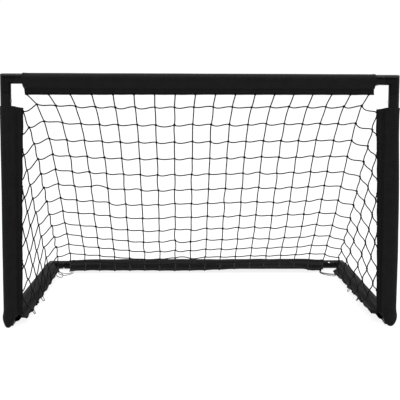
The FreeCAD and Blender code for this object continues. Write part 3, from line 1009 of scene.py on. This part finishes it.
def make_world():
    """A studio that is white all round its walls and overhead, and dimmer high up in front of the mouth."""
    world = bpy.data.worlds.new("studio")
    world.use_nodes = True
    bpy.context.scene.world = world
    nodes, links = world.node_tree.nodes, world.node_tree.links
    nodes.clear()

    def change(way, start, end, first, last):
        """The brightness, which goes smoothly from first to last as the way goes from start to end."""
        node = nodes.new("ShaderNodeMapRange")
        node.interpolation_type = "SMOOTHSTEP"
        for key, value in zip(("From Min", "From Max", "To Min", "To Max"), (start, end, first, last)):
            node.inputs[key].default_value = value
        links.new(way, node.inputs["Value"])
        return node.outputs["Result"]

    def combine(operation, first, second):
        node = nodes.new("ShaderNodeMath")
        node.operation = operation
        links.new(first, node.inputs[0])
        links.new(second, node.inputs[1])
        return node.outputs["Value"]

    parts = nodes.new("ShaderNodeSeparateXYZ")
    links.new(nodes.new("ShaderNodeTexCoord").outputs["Generated"], parts.inputs[0])
    behind = change(parts.outputs["Y"], -0.8, 0.25, 0.06, 1.03)
    overhead = change(parts.outputs["Z"], 0.35, 0.95, 0.0, 0.9)
    walls = change(parts.outputs["Z"], 0.22, 0.34, 1.03, 0.0)
    shade = nodes.new("ShaderNodeBackground")
    shade.inputs["Color"].default_value = (1.0, 1.0, 1.0, 1.0)
    links.new(combine("ADD", combine("MAXIMUM", behind, walls), overhead), shade.inputs["Strength"])
    links.new(shade.outputs["Background"], nodes.new("ShaderNodeOutputWorld").inputs["Surface"])


def make_lights():
    area_light("top_softbox", (0.0, 0.1, 2.4), (0.0, 0.0, 0.2), 2.6, 1.2, 14.0)
    area_light("strip", (0.2, -1.1, 2.4), (0.0, -0.2, 0.4), 2.4, 0.12, 16.0)
    area_light("left_fill", (-1.8, -2.2, 1.5), (0.0, 0.0, 0.3), 0.5, 1.4, 1.2)
    area_light("right_fill", (2.0, -1.8, 1.3), (0.2, 0.0, 0.3), 0.3, 1.4, 1.2)


def make_camera():
    data = bpy.data.cameras.new("photo_camera")
    data.sensor_fit = "HORIZONTAL"
    data.sensor_width = SENSOR
    data.lens = FOCAL_PIXELS / PHOTO_PIXELS * SENSOR
    data.shift_x = (PHOTO_PIXELS / 2 - PRINCIPAL_PIXEL_X) / PHOTO_PIXELS
    data.shift_y = (PRINCIPAL_PIXEL_Y - PHOTO_PIXELS / 2) / PHOTO_PIXELS
    data.clip_start = 0.01
    data.clip_end = 100.0
    camera = bpy.data.objects.new("photo_camera", data)
    forward = Vector((
        math.sin(CAMERA_YAW) * math.cos(CAMERA_PITCH),
        math.cos(CAMERA_YAW) * math.cos(CAMERA_PITCH),
        -math.sin(CAMERA_PITCH),
    ))
    level = Vector((math.cos(CAMERA_YAW), -math.sin(CAMERA_YAW), 0.0))
    upright = level.cross(forward)
    right = level * math.cos(CAMERA_ROLL) + upright * math.sin(CAMERA_ROLL)
    up = upright * math.cos(CAMERA_ROLL) - level * math.sin(CAMERA_ROLL)
    camera.matrix_world = Matrix.Translation(CAMERA_AT) @ Matrix((right, up, -forward)).transposed().to_4x4()
    bpy.context.scene.collection.objects.link(camera)
    bpy.context.scene.camera = camera
    bpy.context.scene.view_settings.view_transform = "Standard"


def dress_nodes():
    """Finishes for the CAD nodes that stay as they are."""
    finishes = {
        "_tube": (paint_look(), "tube_paint"),
        "_elbow": (plastic_look(), "elbow_plastic"),
        "_button": (steel_look("button_steel", 0.42, 0.14), "button_steel"),
        "_leaf_spring": (steel_look("spring_steel", 0.4, 0.3), "spring_steel"),
    }
    for name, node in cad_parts.items():
        for ending, (material, slot) in finishes.items():
            if name.endswith(ending):
                node.data.materials.clear()
                node.data.materials.append(material)


dress_nodes()
fabric = fabric_look("sleeve_fabric", 0.0040, 0.0080)
binding = fabric_look("edge_binding", 0.003, 0.006, weave=0.0006)
cord = cord_look("net_cord", 0.003, 0.007)
thread = cord_look("stitch_thread", 0.006, 0.014)

sleeves = make_sleeves()
for key, sleeve in sleeves.items():
    cloth = sleeve.cloth(fabric)
draw_bindings(sleeves, binding)
draw_stitches(sleeves, thread)
draw_loops(sleeves, thread)
draw_net(Net(sleeves), cord)

make_floor()
make_world()
make_lights()
make_camera()
